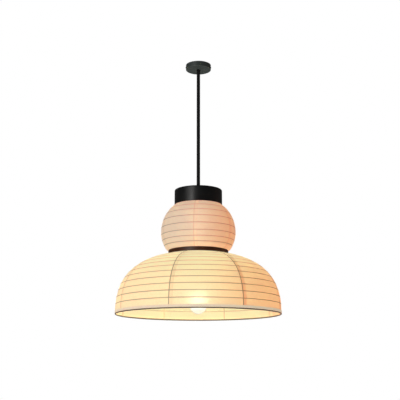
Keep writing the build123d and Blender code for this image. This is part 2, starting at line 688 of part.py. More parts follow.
with BuildPart() as holder_insert:
    with BuildSketch(Plane.XY.offset(insert_base_z)):
        Circle(insert_r)
    extrude(amount=insert_top_z - insert_base_z)
    with BuildSketch(Plane.XY.offset(insert_base_z)):
        Circle(shell_out_r + TOUCH_GAP)
    extrude(amount=insert_ceiling_z - insert_base_z, mode=Mode.SUBTRACT)
    with BuildSketch(Plane.XY.offset(insert_ceiling_z)):
        Circle(CONTACT_PIN_D / 2 + TOUCH_GAP)
    extrude(amount=INSERT_TOP_T / 2, mode=Mode.SUBTRACT)
    with BuildSketch(Plane.XY.offset(insert_top_z)):
        with GridLocations(2 * CORE_PITCH_R, 0, 2, 1):
            Circle(CORE_D / 2 + TOUCH_GAP)
    extrude(amount=-INSERT_TOP_T / 3, mode=Mode.SUBTRACT)
save(holder_insert, "holder_insert")

with BuildPart() as holder_contact:
    with BuildSketch(Plane.XY.offset(tip_top_z + TOUCH_GAP)):
        Circle(CONTACT_D / 2)
    extrude(amount=CONTACT_T)
    with BuildSketch(Plane.XY.offset(tip_top_z + TOUCH_GAP)):
        Circle(CONTACT_PIN_D / 2)
    extrude(amount=insert_ceiling_z + INSERT_TOP_T / 3 - tip_top_z)
save(holder_contact, "holder_contact")

with BuildPart() as holder_skirt:
    with BuildSketch(Plane.XY.offset(holder_mouth_z)):
        Circle(holder_r)
        Circle(holder_r - HOLDER_WALL, mode=Mode.SUBTRACT)
    extrude(amount=insert_top_z - holder_mouth_z)
    fillet(holder_skirt.edges().group_by(Axis.Z)[0], radius=HOLDER_WALL / 3)
save(holder_skirt, "holder_skirt")

with BuildPart() as holder_cap:
    neck_r = HOLDER_CAP_NECK_D / 2
    shoulder_z = holder_top_z - HOLDER_CAP_NECK_H
    with BuildSketch(Plane.XZ):
        with BuildLine():
            Polyline(
                (holder_r - HOLDER_WALL, insert_top_z + TOUCH_GAP),
                (holder_r, insert_top_z + TOUCH_GAP),
                (holder_r, insert_top_z + HOLDER_CAP_BAND),
                (neck_r, shoulder_z),
                (neck_r, holder_top_z),
                (thread_hole_r, holder_top_z),
                (thread_hole_r, shoulder_z - HOLDER_WALL),
                (neck_r - HOLDER_WALL, shoulder_z - HOLDER_WALL),
                (holder_r - HOLDER_WALL, insert_top_z + HOLDER_CAP_BAND - HOLDER_WALL / 2),
                close=True,
            )
        make_face()
    revolve(axis=Axis.Z)
    shoulder_edges = holder_cap.edges().filter_by(GeomType.CIRCLE).group_by(SortBy.RADIUS)[-1]
    fillet(shoulder_edges.sort_by(Axis.Z)[-1], radius=HOLDER_WALL)
save(holder_cap, "holder_cap")

with BuildPart() as cord_grip:
    with BuildSketch(Plane.XY.offset(flex_base_z + GRIP_LIFT)):
        Circle(GRIP_D / 2)
        Circle(FLEX_D / 2 + TOUCH_GAP, mode=Mode.SUBTRACT)
    extrude(amount=GRIP_T)
save(cord_grip, "cord_grip")

with BuildPart() as holder_cores:
    with BuildSketch(Plane.XY.offset(flex_base_z - TOUCH_GAP)):
        with GridLocations(2 * CORE_PITCH_R, 0, 2, 1):
            Circle(CORE_D / 2)
    extrude(amount=insert_top_z - INSERT_TOP_T / 3 + TOUCH_GAP - flex_base_z)
save(holder_cores, "holder_cores")

# ================================================================ bulb
def bulb_half(thickness):
    """Corners of the glass, moved in by a thickness: bottom, touching point and neck (radius, z)."""
    centre_z = bulb_base_z + bulb_r
    neck_rise = glass_top_z - centre_z
    reach = math.hypot(bulb_neck_r, neck_rise)
    touch = math.atan2(neck_rise, bulb_neck_r) - math.acos(bulb_r / reach)
    out_r, out_z = math.cos(touch), math.sin(touch)
    ball = bulb_r - thickness
    bottom = (0, centre_z - ball)
    side = (ball, centre_z)
    touching = (ball * out_r, centre_z + ball * out_z)
    neck = (bulb_neck_r - thickness * out_r, glass_top_z - thickness * out_z)
    return bottom, side, touching, neck


with BuildPart() as bulb_glass:
    outer, inner = bulb_half(0), bulb_half(BULB_GLASS_T)
    with BuildSketch(Plane.XZ):
        with BuildLine():
            RadiusArc(outer[0], outer[1], -bulb_r)
            RadiusArc(outer[1], outer[2], -bulb_r)
            Line(outer[2], outer[3])
            Line(outer[3], inner[3])
            Line(inner[3], inner[2])
            RadiusArc(inner[2], inner[1], bulb_r - BULB_GLASS_T)
            RadiusArc(inner[1], inner[0], bulb_r - BULB_GLASS_T)
            Line(inner[0], outer[0])
        make_face()
    revolve(axis=Axis.Z)
save(bulb_glass, "bulb_glass")

with BuildPart() as bulb_led_board:
    with BuildSketch(Plane.XY.offset(glass_top_z - BULB_PLUG)):
        Circle(led_board_r)
    extrude(amount=-LED_BOARD_T)
save(bulb_led_board, "bulb_led_board")

with BuildPart() as bulb_collar:
    collar_foot_z = glass_top_z + TOUCH_GAP
    with BuildSketch(Plane.XZ):
        with BuildLine():
            Polyline(
                (0, glass_top_z - BULB_PLUG),
                (led_board_r, glass_top_z - BULB_PLUG),
                (led_board_r, collar_foot_z),
                (bulb_neck_r, collar_foot_z),
                (screw_cap_r, collar_top_z),
                (0, collar_top_z),
                close=True,
            )
        make_face()
    revolve(axis=Axis.Z)
save(bulb_collar, "bulb_collar")

with BuildPart() as bulb_screw_cap:
    with BuildSketch(Plane.XY.offset(collar_top_z + TOUCH_GAP)):
        Circle(screw_cap_r)
    extrude(amount=SCREW_CAP_H - TOUCH_GAP)
    chamfer(bulb_screw_cap.edges().group_by(Axis.Z)[-1], length=SCREW_CAP_SLOPE)
    with BuildSketch(Plane.XY.offset(collar_top_z + TOUCH_GAP)):
        Circle(screw_cap_r - SCREW_CAP_WALL)
    extrude(amount=SCREW_CAP_H - TOUCH_GAP - SCREW_CAP_TOP_T, mode=Mode.SUBTRACT)
save(bulb_screw_cap, "bulb_screw_cap")

with BuildPart() as bulb_tip:
    with BuildSketch(Plane.XY.offset(screw_cap_top_z + TOUCH_GAP)):
        Circle(TIP_D / 2 + TIP_FLARE)
    extrude(amount=TIP_H - TIP_PAD_T, taper=TIP_TAPER)
    with BuildSketch(Plane.XY.offset(screw_cap_top_z + TIP_H - TIP_PAD_T)):
        Circle(TIP_D / 2)
    extrude(amount=TIP_PAD_T)
save(bulb_tip, "bulb_tip")
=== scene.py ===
import math
import random

import bpy
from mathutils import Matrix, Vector


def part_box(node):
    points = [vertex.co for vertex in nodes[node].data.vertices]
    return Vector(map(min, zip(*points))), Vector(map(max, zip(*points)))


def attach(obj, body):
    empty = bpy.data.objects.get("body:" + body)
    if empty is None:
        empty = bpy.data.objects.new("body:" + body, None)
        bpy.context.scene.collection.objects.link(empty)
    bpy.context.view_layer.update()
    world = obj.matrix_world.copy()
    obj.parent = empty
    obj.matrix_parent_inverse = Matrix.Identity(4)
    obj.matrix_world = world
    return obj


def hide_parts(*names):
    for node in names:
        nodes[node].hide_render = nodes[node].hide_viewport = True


# Paper pendant light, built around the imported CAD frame. Metres and degrees, +Z up.
# Azimuth 0 is towards -Y (the front) and grows towards +X.

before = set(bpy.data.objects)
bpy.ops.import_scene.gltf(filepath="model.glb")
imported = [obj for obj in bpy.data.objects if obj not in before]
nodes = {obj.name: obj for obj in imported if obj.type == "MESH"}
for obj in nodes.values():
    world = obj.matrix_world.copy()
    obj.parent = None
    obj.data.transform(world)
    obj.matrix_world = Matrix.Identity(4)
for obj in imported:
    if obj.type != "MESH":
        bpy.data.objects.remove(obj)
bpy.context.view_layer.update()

# ---------------------------------------------------------------- sizes taken from the frame
rim_low, rim_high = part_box("rim_hoop")
ring_low, ring_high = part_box("neck_ring")
cap_low, cap_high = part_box("cap")
bulb_low, bulb_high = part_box("bulb_glass")

dome_r, rim_z = rim_high.x, rim_low.z
ring_r, ring_base_z, ring_top_z = ring_high.x, ring_low.z, ring_high.z
cap_r, cap_base_z = cap_high.x, cap_low.z
bulb_r = bulb_high.x
bulb_centre = Vector((0, 0, bulb_low.z + bulb_r))

# ---------------------------------------------------------------- paper shades
DOME_POWER = 2.6  # roundness of the dome's outline: 2 is an ellipse
DOME_BANDS = 12
DOME_NECK_R = 0.102
RIM_BAND_TOP = 0.036  # height of the lowest wire hoop over the rim
RIM_WIRE_D = 0.004
OUTLINE_STEPS = 2000  # samples that the dome's hoops are picked from
GLOBE_D = 0.276
GLOBE_UPPER_POWER = 2.13
GLOBE_LOWER_POWER = 1.83
GLOBE_BELT = 0.383  # height of its widest place, as a share of its height
GLOBE_HEEL = 0.18  # where its lower curve meets the ring's level: 0 at the ring's radius, 1 at its own
GLOBE_HOOPS = (0.10, 0.205, 0.325, 0.48, 0.64, 0.78, 0.90)  # heights, as shares of its height
GLOBE_NECK_R = 0.084
# Control point that bulges the lowest band over the ring: radius, and height over the ring.
HEEL_CONTROL = (0.117, -0.0012)
HEEL_LIFT = 0.0004
SEAT_GAP = 0.001
DOME_SEAMS = (-19, 30, 73, 116, 160, 207, 251, 296)  # azimuths
GLOBE_SEAMS = (-7, 56, 116, 174, 232, 292)

LAP = 0.0125  # how far a gore runs on over the next one
LAP_LIFT = 0.00035
LAP_SHARES = (0.12, 0.4, 0.75, 0.97, 1)  # places of its vertices, as shares of the lap
LAP_SLOPE = 0.4  # share of the lap in which it climbs onto the next gore
SKIN_DEPTH = 0.0004  # of the sheet's middle below the outline
BAND_SHARES = (0, 0.035, 0.12, 0.3, 0.5, 0.7, 0.88, 0.965)
SAG = {"dome": 0.006, "globe": -0.014}  # of a band's width, inwards at its middle
RIPPLE = 0.00032
RIPPLE_WAVES = (9, 14, 23, 31, 44)  # how many times each wave goes round the shade
RIPPLE_SEED = {"dome": 11, "globe": 23}
GORE_STEP = 2.0  # degrees


def rise(radius, half_width, power):
    """Height of a superellipse at a radius, as a share of its half height."""
    return (1 - (radius / half_width) ** power) ** (1 / power)


def dome_outline():
    """Corners of the dome (radius, z), one at each hoop, from the rim to the neck."""
    height = ring_base_z - rim_z
    apex = (height - SEAT_GAP) / rise(ring_r, dome_r, DOME_POWER)

    def point_at(angle):
        radius = dome_r * math.cos(angle) ** (2 / DOME_POWER)
        return radius, rim_z + apex * math.sin(angle) ** (2 / DOME_POWER)

    def angle_of_height(above_rim):
        return math.asin((above_rim / apex) ** (DOME_POWER / 2))

    first = angle_of_height(RIM_BAND_TOP)
    last = math.acos((DOME_NECK_R / dome_r) ** (DOME_POWER / 2))
    samples = [point_at(first + (last - first) * i / OUTLINE_STEPS) for i in range(OUTLINE_STEPS + 1)]
    travelled = [0.0]
    for one, other in zip(samples, samples[1:]):
        travelled.append(travelled[-1] + math.dist(one, other))
    marks = [travelled[-1] * i / DOME_BANDS for i in range(DOME_BANDS + 1)]
    hoops = [samples[min(range(OUTLINE_STEPS + 1), key=lambda i: abs(travelled[i] - mark))] for mark in marks]
    return [point_at(angle_of_height(RIM_WIRE_D))] + hoops


def globe_outline():
    """Corners of the globe (radius, z), one at each hoop, from the ring to the cap."""
    globe_r = GLOBE_D / 2
    height = cap_base_z - ring_top_z
    belt_z = ring_top_z + GLOBE_BELT * height
    heel_r = ring_r + GLOBE_HEEL * (globe_r - ring_r)
    upper = (cap_base_z - SEAT_GAP / 2 - belt_z) / rise(cap_r, globe_r, GLOBE_UPPER_POWER)
    lower = (belt_z - ring_top_z) / rise(heel_r, globe_r, GLOBE_LOWER_POWER)
    corners = [(ring_r - SEAT_GAP, ring_top_z + HEEL_LIFT)]
    for share in GLOBE_HOOPS:
        z = ring_top_z + share * height
        if z > belt_z:
            corners.append((globe_r * rise((z - belt_z) / upper, 1, GLOBE_UPPER_POWER), z))
        else:
            corners.append((globe_r * rise((belt_z - z) / lower, 1, GLOBE_LOWER_POWER), z))
    corners.append((GLOBE_NECK_R, belt_z + upper * rise(GLOBE_NECK_R, globe_r, GLOBE_UPPER_POWER)))
    return corners


def around(azimuth, radius, z):
    """Point at an azimuth, a distance from the axis and a height."""
    angle = math.radians(azimuth)
    return radius * math.sin(angle), -radius * math.cos(angle), z


def stations(corners, heel=None):
    """Places along an outline: (radius, z), outward direction, slack share, band place, band width.

    A heel is the control point that bends the lowest band outwards.
    """
    places = []
    for band, (foot, head) in enumerate(zip(corners, corners[1:])):
        run, climb = head[0] - foot[0], head[1] - foot[1]
        width = math.hypot(run, climb)
        outward = (climb / width, -run / width)
        shares = BAND_SHARES + ((1,) if band == len(corners) - 2 else ())
        for share in shares:
            slack = 1 - (2 * share - 1) ** 2
            if heel and band == 0:
                place = tuple((1 - share) ** 2 * foot[i] + 2 * share * (1 - share) * heel[i]
                              + share ** 2 * head[i] for i in (0, 1))
                slack = 0
            else:
                place = (foot[0] + run * share, foot[1] + climb * share)
            places.append((place, outward, slack, band + share, width))
    return places


def ripples(seed, bands):
    """Small standing waves round the shade, a different set on each band."""
    draw = random.Random(seed)
    waves = [[(k, draw.uniform(0.2, 1) / math.sqrt(k / RIPPLE_WAVES[0]), draw.uniform(0, math.tau))
              for k in RIPPLE_WAVES] for _ in range(bands)]

    def ripple(azimuth, band):
        angle = math.radians(azimuth)
        return sum(size * math.sin(k * angle + phase) for k, size, phase in waves[min(band, bands - 1)])

    return ripple


def new_piece(name, verts, faces, material):
    mesh = bpy.data.meshes.new(name)
    mesh.from_pydata(verts, [], faces)
    mesh.materials.append(material)
    mesh.polygons.foreach_set("use_smooth", [True] * len(mesh.polygons))
    mesh.update()
    piece = bpy.data.objects.new(name, mesh)
    bpy.context.collection.objects.link(piece)
    return piece


def grid_faces(rows, columns):
    """Faces of a grid of vertices written row by row."""
    return [(corner, corner + 1, corner + columns + 1, corner + columns)
            for row in range(rows - 1) for corner in range(row * columns, (row + 1) * columns - 1)]


def paper_gore(node, shade, corners, seams, index, ripple, material):
    """One gore of paper, stretched from hoop to hoop, creased over them and lapped past its last seam.

    Its paper_marks hold the distance past that seam, the place among the bands and the band's width.
    """
    start, end = seams[index], seams[(index + 1) % len(seams)]
    span = (end - start) % 360
    steps = round(span / GORE_STEP)
    columns = [(i / steps, 0) for i in range(steps + 1)] + [(1, share * LAP) for share in LAP_SHARES]
    verts, marks = [], []
    heel = (HEEL_CONTROL[0], ring_top_z + HEEL_CONTROL[1]) if shade == "globe" else None
    places = stations(corners, heel)
    for (radius, z), outward, slack, band, width in places:
        for share, past in columns:
            azimuth = start + span * share + math.degrees(past / radius)
            depth = SKIN_DEPTH + slack * (SAG[shade] * width - RIPPLE * ripple(azimuth, int(band)))
            depth -= LAP_LIFT * min(past / (LAP_SLOPE * LAP), 1)
            verts.append(around(azimuth, radius - outward[0] * depth, z - outward[1] * depth))
            inside = (share - 1) * math.radians(span) * radius
            marks.append((inside + past, band, width))
    piece = new_piece(f"{shade}_paper_{index + 1}", verts, grid_faces(len(places), len(columns)), material)
    paper_marks = piece.data.attributes.new("paper_marks", "FLOAT_VECTOR", "POINT")
    paper_marks.data.foreach_set("vector", [value for mark in marks for value in mark])
    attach(piece, "pendant")
    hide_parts(node)


# ---------------------------------------------------------------- material helpers
class Recipe:
    """A material's node tree, with short names for the nodes that the finishes here use."""

    def __init__(self, name):
        self.material = bpy.data.materials.new(name)
        self.material.use_nodes = True
        self.tree = self.material.node_tree
        self.shader = self.tree.nodes["Principled BSDF"]
        self.output = self.tree.nodes["Material Output"]
        self.place = self.node("ShaderNodeTexCoord").outputs["Object"]

    def node(self, kind, **settings):
        made = self.tree.nodes.new(kind)
        for key, value in settings.items():
            setattr(made, key, value)
        return made

    def link(self, source, socket):
        self.tree.links.new(source, socket)

    def set(self, **sockets):
        """Sets sockets of the shader; an underscore in a name stands for a space."""
        for key, value in sockets.items():
            self.shader.inputs[key.replace("_", " ")].default_value = value

    def stretched(self, x, y, z):
        mapping = self.node("ShaderNodeMapping")
        mapping.inputs["Scale"].default_value = (x, y, z)
        self.link(self.place, mapping.inputs["Vector"])
        return mapping.outputs["Vector"]

    def along(self, x, y, z):
        """How far a point lies along a direction."""
        made = self.node("ShaderNodeVectorMath", operation="DOT_PRODUCT")
        self.link(self.place, made.inputs[0])
        made.inputs[1].default_value = (x, y, z)
        return made.outputs["Value"]

    def noise(self, scale, detail=4.0, roughness=0.55, distortion=0.0, place=None):
        made = self.node("ShaderNodeTexNoise")
        made.inputs["Scale"].default_value = scale
        made.inputs["Detail"].default_value = detail
        made.inputs["Roughness"].default_value = roughness
        made.inputs["Distortion"].default_value = distortion
        self.link(place or self.place, made.inputs["Vector"])
        return made.outputs["Fac"]

    def math(self, operation, first, second=None):
        made = self.node("ShaderNodeMath", operation=operation)
        for socket, value in zip(made.inputs, (first, second)):
            if value is None:
                continue
            if isinstance(value, (int, float)):
                socket.default_value = value
            else:
                self.link(value, socket)
        return made.outputs[0]

    def range(self, value, low, high, to_low, to_high):
        made = self.node("ShaderNodeMapRange", interpolation_type="SMOOTHSTEP")
        for socket, number in zip(("From Min", "From Max", "To Min", "To Max"), (low, high, to_low, to_high)):
            made.inputs[socket].default_value = number
        self.link(value, made.inputs["Value"])
        return made.outputs["Result"]

    def blend(self, share, first, second, kind="MIX"):
        """A mix of two colours; either may be a socket or a plain (r, g, b)."""
        made = self.node("ShaderNodeMix", data_type="RGBA", blend_type=kind)
        for socket, value in zip((made.inputs[0], made.inputs[6], made.inputs[7]), (share, first, second)):
            if isinstance(value, (int, float)):
                socket.default_value = value
            elif isinstance(value, tuple):
                socket.default_value = (*value, 1)
            else:
                self.link(value, socket)
        return made.outputs[2]

    def ramp(self, value, *stops):
        """Colour by value: stops are (position, (r, g, b))."""
        made = self.node("ShaderNodeValToRGB")
        elements = made.color_ramp.elements
        while len(elements) < len(stops):
            elements.new(0.5)
        for element, (position, colour) in zip(elements, stops):
            element.position = position
            element.color = (*colour, 1)
        self.link(value, made.inputs["Fac"])
        return made.outputs["Color"]

    def bump(self, height, strength, distance):
        made = self.node("ShaderNodeBump")
        made.inputs["Strength"].default_value = strength
        made.inputs["Distance"].default_value = distance
        self.link(height, made.inputs["Height"])
        self.link(made.outputs["Normal"], self.shader.inputs["Normal"])
        return made.outputs["Normal"]


# ---------------------------------------------------------------- finishes
# Lines on the paper: painted shadows of the hoops and uprights behind it, and the lap's free edge, partly
# painted shadow. Where each is darkest and where it has faded out, in metres from its middle.
RIB_LINE = (0.0007, 0.0025)
SEAM_LINE = (0.0008, 0.0026)
LAP_LINE = (LAP - 0.0016, LAP - 0.0006)  # the lap's free edge, from the seam: faint, then full
LAP_LINE_DEPTH = 0.45  # as a share of the seam's
LAP_DEPTH = 0.05  # how much darker the doubled paper is painted, where less light comes through
LINE_COOLING = 0.7  # how much further the red of the painted glow falls off in a painted line
PAPER_DARK, PAPER_PALE = (0.82, 0.70, 0.52), (0.95, 0.86, 0.70)
# Colour that the painted shadow lines take in the base colour.
PAPER_LINE = (0.02, 0.05, 0.04)
PAPER_THROUGH = (1.0, 0.84, 0.62)  # colour of the light scattered through the paper
THROUGH_SHARE = 0.30
PAPER_CLARITY = 0.24  # share of the other light that goes through nearly straight
PAPER_IOR = 1.12
GLOW_REACH = (0.18, 0.40)  # distances from the bulb where the near painted glow ends and the far painted glow begins
SIDE_SHADE_TOWARDS = (0.9, -0.45)  # x and y in which the painted shading of the right side grows; the left side's mirrors it
SIDE_SHADE_REACH = (0.36, 1.02)  # where they begin and are full, as shares of the shade's radius
SIDE_SHADE_IN_BASE = 0.3  # share of the painted side shading that the base colour takes


def paper_finish(name, widest, rib_depth, seam_depth, near, far, left, right):
    """Fibrous lantern paper, its light from the bulb inside painted in as a glow, with painted shadows of its
    wires and its laps showing as lines.

    widest is the shade's radius; rib_depth and seam_depth are how dark its painted wire shadows and seam
    lines are, from 0 to 1;
    near and far are its painted glow near the bulb and far from it. left and right are painted shading that
    the glow and the base colour take on the two sides of its front.
    """
    r = Recipe(name)
    marks = r.node("ShaderNodeAttribute", attribute_type="GEOMETRY", attribute_name="paper_marks")
    parts = r.node("ShaderNodeSeparateXYZ")
    r.link(marks.outputs["Vector"], parts.inputs["Vector"])
    past_seam, band, band_width = parts.outputs
    off_hoop = r.math("ABSOLUTE", r.math("SUBTRACT", band, r.math("ROUND", band)))
    rib = r.range(r.math("MULTIPLY", off_hoop, band_width), *RIB_LINE, 1, 0)
    seam = r.range(r.math("ABSOLUTE", past_seam), *SEAM_LINE, 1, 0)
    lap = r.math("GREATER_THAN", past_seam, 0.0)
    lap_edge = r.range(past_seam, *LAP_LINE, 0, 1)
    # Painted shade: shadows of the hoops and uprights behind the paper, the lap's free edge and the doubled
    # paper.
    shade = r.math("MAXIMUM", r.math("MULTIPLY", rib, rib_depth), r.math("MULTIPLY", seam, seam_depth))
    shade = r.math("MAXIMUM", shade, r.math("MULTIPLY", lap_edge, LAP_LINE_DEPTH * seam_depth))
    shade = r.math("MAXIMUM", shade, r.math("MULTIPLY", lap, LAP_DEPTH))

    cloudy = r.noise(14, detail=3)
    fibres = r.noise(160, detail=6, roughness=0.7, distortion=1.6)
    strands = r.noise(60, detail=5, roughness=0.75, distortion=2.5, place=r.stretched(1, 1, 3.5))
    mottle = r.math("ADD", r.math("MULTIPLY", fibres, 0.5), r.math("MULTIPLY", strands, 0.5))

    tone = r.ramp(mottle, (0.30, PAPER_DARK), (0.72, PAPER_PALE))
    # The painted shadow lines darken the base colour too.
    tone = r.blend(r.math("MULTIPLY", shade, 0.9), tone, PAPER_LINE)

    # Painted glow: the bulb's light through the paper is painted in as emission, brighter near the bulb.
    reach = r.node("ShaderNodeVectorMath", operation="DISTANCE")
    r.link(r.place, reach.inputs[0])
    reach.inputs[1].default_value = bulb_centre
    lit = r.ramp(r.range(reach.outputs["Value"], *GLOW_REACH, 0, 1), (0.0, near), (1.0, far))
    patchy = r.range(r.math("ADD", mottle, r.math("MULTIPLY", cloudy, 0.6)), 0.4, 1.1, 0.86, 1.08)
    # The painted shadow lines dim the painted glow, the red most.
    glow = r.math("MULTIPLY", r.math("SUBTRACT", 1, shade), patchy)
    cool = r.math("MULTIPLY", glow, r.math("SUBTRACT", 1, r.math("MULTIPLY", shade, LINE_COOLING)))
    dimmed = r.node("ShaderNodeCombineXYZ")
    for source, socket in zip((cool, glow, glow), dimmed.inputs):
        r.link(source, socket)
    lit = r.blend(1.0, lit, dimmed.outputs[0], kind="MULTIPLY")
    # Painted shading: the glow and the base colour go cooler towards the left of the front and orange towards
    # the right.
    side_shade = (1.0, 1.0, 1.0)
    sideways, front = SIDE_SHADE_TOWARDS
    starts, full = (share * widest for share in SIDE_SHADE_REACH)
    for side, colour in ((sideways, right), (-sideways, left)):
        side_shade = r.blend(r.range(r.along(side, front, 0), starts, full, 0, 1), side_shade, colour)
    lit = r.blend(1.0, lit, side_shade, kind="MULTIPLY")

    tone = r.blend(SIDE_SHADE_IN_BASE, tone, side_shade, kind="MULTIPLY")
    r.link(tone, r.shader.inputs["Base Color"])
    # The emission is the painted glow of the light coming through the paper.
    r.link(lit, r.shader.inputs["Emission Color"])
    r.set(Emission_Strength=1.0, Roughness=0.86, Specular_IOR_Level=0.18)
    r.set(Transmission_Weight=PAPER_CLARITY, IOR=PAPER_IOR)  # lets the bulb show as a soft bright spot
    normal = r.bump(r.math("ADD", mottle, r.math("MULTIPLY", rib, 0.9)), 0.35, 0.0006)

    through = r.node("ShaderNodeBsdfTranslucent")
    r.link(r.blend(1.0, tone, PAPER_THROUGH, kind="MULTIPLY"), through.inputs["Color"])
    r.link(normal, through.inputs["Normal"])
    both = r.node("ShaderNodeMixShader")
    both.inputs["Fac"].default_value = THROUGH_SHARE
    r.link(r.shader.outputs[0], both.inputs[1])
    r.link(through.outputs[0], both.inputs[2])
    r.link(both.outputs[0], r.output.inputs["Surface"])
    return r.material


def hem_finish():
    """Doubled paper tape, denser and pinker than the skin."""
    r = Recipe("hem_paper")
    fibres = r.noise(190, detail=6, roughness=0.7, distortion=1.4)
    r.link(r.ramp(fibres, (0.3, (0.66, 0.54, 0.42)), (0.75, (0.80, 0.68, 0.55))),
           r.shader.inputs["Base Color"])
    # Painted glow: the bulb's light through the doubled tape, painted in as emission.
    r.link(r.ramp(fibres, (0.3, (0.29, 0.23, 0.17)), (0.75, (0.40, 0.34, 0.25))),
           r.shader.inputs["Emission Color"])
    r.set(Emission_Strength=1.0, Roughness=0.85, Specular_IOR_Level=0.2)
    r.bump(fibres, 0.4, 0.0005)
    return r.material


def lacquer_finish(name, colour, roughness, gloss=0.42, peel=0.12):
    """Sprayed lacquer on metal: a fine orange peel, with slightly uneven gloss."""
    r = Recipe(name)
    haze = r.noise(22, detail=5, roughness=0.6)
    r.link(r.blend(haze, colour, tuple(1.7 * value for value in colour)), r.shader.inputs["Base Color"])
    r.link(r.range(haze, 0.3, 0.7, roughness - 0.05, roughness + 0.06), r.shader.inputs["Roughness"])
    r.set(Specular_IOR_Level=gloss)
    r.bump(r.noise(900, detail=2), peel, 0.0002)
    return r.material


def stained_wood_finish():
    """Turned wood with a black stain that lets a warm open grain through."""
    r = Recipe("stained_wood")
    grain = r.noise(38, detail=7, roughness=0.72, distortion=0.7, place=r.stretched(1, 1, 16))
    pores = r.noise(210, detail=3, roughness=0.6, place=r.stretched(1, 1, 7))
    r.link(r.ramp(grain, (0.32, (0.032, 0.008, 0.001)), (0.7, (0.080, 0.024, 0.005))),
           r.shader.inputs["Base Color"])
    r.link(r.range(pores, 0.3, 0.7, 0.34, 0.52), r.shader.inputs["Roughness"])
    r.bump(r.math("ADD", grain, r.math("MULTIPLY", pores, 0.5)), 0.25, 0.0004)
    return r.material


def metal_finish(name, dark, light, low, high, streak=(1, 1, 1)):
    """Bare or plated metal with fine tool marks and patches of handling."""
    r = Recipe(name)
    marks = r.noise(240, detail=4, roughness=0.6, place=r.stretched(*streak))
    wear = r.noise(30, detail=5, roughness=0.65)
    r.link(r.blend(wear, dark, light), r.shader.inputs["Base Color"])
    r.link(r.range(r.math("MULTIPLY", r.math("ADD", marks, wear), 0.5), 0.3, 0.7, low, high),
           r.shader.inputs["Roughness"])
    r.set(Metallic=1.0)
    r.bump(marks, 0.15, 0.0002)
    return r.material


def plastic_finish(name, colour, roughness):
    """Moulded plastic, rubber or glazed clay: an even colour with a fine mould texture."""
    r = Recipe(name)
    grain = r.noise(700, detail=2)
    patches = r.noise(35, detail=4)
    r.link(r.blend(patches, tuple(0.86 * value for value in colour), colour), r.shader.inputs["Base Color"])
    r.link(r.range(patches, 0.3, 0.7, roughness - 0.06, roughness + 0.06), r.shader.inputs["Roughness"])
    r.bump(grain, 0.2, 0.0002)
    return r.material


def opal_finish():
    """Opal glass, lit: brightest above its belly, warmer at the neck and softer towards its foot."""
    r = Recipe("opal_glass")
    up = r.range(r.along(0, 0, 1), bulb_low.z, bulb_high.z, 0, 1)
    r.link(r.ramp(up, (0.0, (0.02, 0.018, 0.008)), (0.3, (0.085, 0.087, 0.082)), (0.62, (1.0, 0.93, 0.78)),
                  (1.0, (0.9, 0.72, 0.48))), r.shader.inputs["Emission Color"])
    r.link(r.blend(r.noise(60), (0.80, 0.78, 0.70), (0.88, 0.87, 0.80)), r.shader.inputs["Base Color"])
    r.set(Emission_Strength=9.0, Roughness=0.22)
    return r.material


def dress(material, *names):
    """Gives CAD nodes a finish."""
    for name in names:
        for slot in nodes[name].material_slots:
            slot.material = material


# ---------------------------------------------------------------- camera
CAMERA_Y = -2.9275
CAMERA_BELOW_RIM = 0.2243
CAMERA_CLIP = (0.01, 100)
CAMERA_PITCH = 12.51  # degrees above level
CAMERA_TURN = -0.121  # degrees, so that the light hangs a little left of the middle
CAMERA_LENS = 72.48
SENSOR = 36.0


def make_camera():
    data = bpy.data.cameras.new("camera")
    data.lens = CAMERA_LENS
    data.sensor_width = SENSOR
    data.clip_start, data.clip_end = CAMERA_CLIP
    camera = bpy.data.objects.new("camera", data)
    bpy.context.collection.objects.link(camera)
    camera.location = (0, CAMERA_Y, rim_z - CAMERA_BELOW_RIM)
    camera.rotation_euler = (math.radians(90 + CAMERA_PITCH), 0, math.radians(CAMERA_TURN))
    bpy.context.scene.camera = camera


# ---------------------------------------------------------------- floor, world and lights
FLOOR_BELOW_RIM = 0.95
FLOOR_HALF = 4.0
FLOOR_Z = rim_z - FLOOR_BELOW_RIM
WORLD_COLOUR, WORLD_STRENGTH = (1.0, 0.985, 0.96, 1), 0.08  # of what it casts, not of what is seen
# Name, azimuth, distance, height and aim over the shades' middle, size, watts, colour.
STUDIO_LIGHTS = (
    ("strip_left", -29, 3.2, 0.2, 0.1, (0.35, 1.9), 15, (1, 0.99, 0.97)),
    ("soft_left", -40, 3.0, 0.9, 0, (1.6, 1.6), 16, (1, 0.98, 0.95)),
    ("warm_right", 100, 2.2, -0.3, -0.2, (0.7, 1.2), 4, (1, 0.45, 0.25)),
)
BOUNCE_OVER_FLOOR = 0.02
BOUNCE_WATTS, BOUNCE_COLOUR = 42, (0.96, 1, 0.98)
BULB_WATTS, BULB_COLOUR = 1.9, (0.86, 1.0, 0.47)


def make_floor():
    r = Recipe("pale_floor")
    speckle = r.noise(7, detail=5)
    r.link(r.blend(speckle, (0.80, 0.80, 0.79), (0.84, 0.84, 0.83)), r.shader.inputs["Base Color"])
    r.set(Roughness=0.9)
    verts = [(x * FLOOR_HALF, y * FLOOR_HALF, FLOOR_Z) for x, y in ((-1, -1), (1, -1), (1, 1), (-1, 1))]
    new_piece("floor", verts, [(0, 1, 2, 3)], r.material)


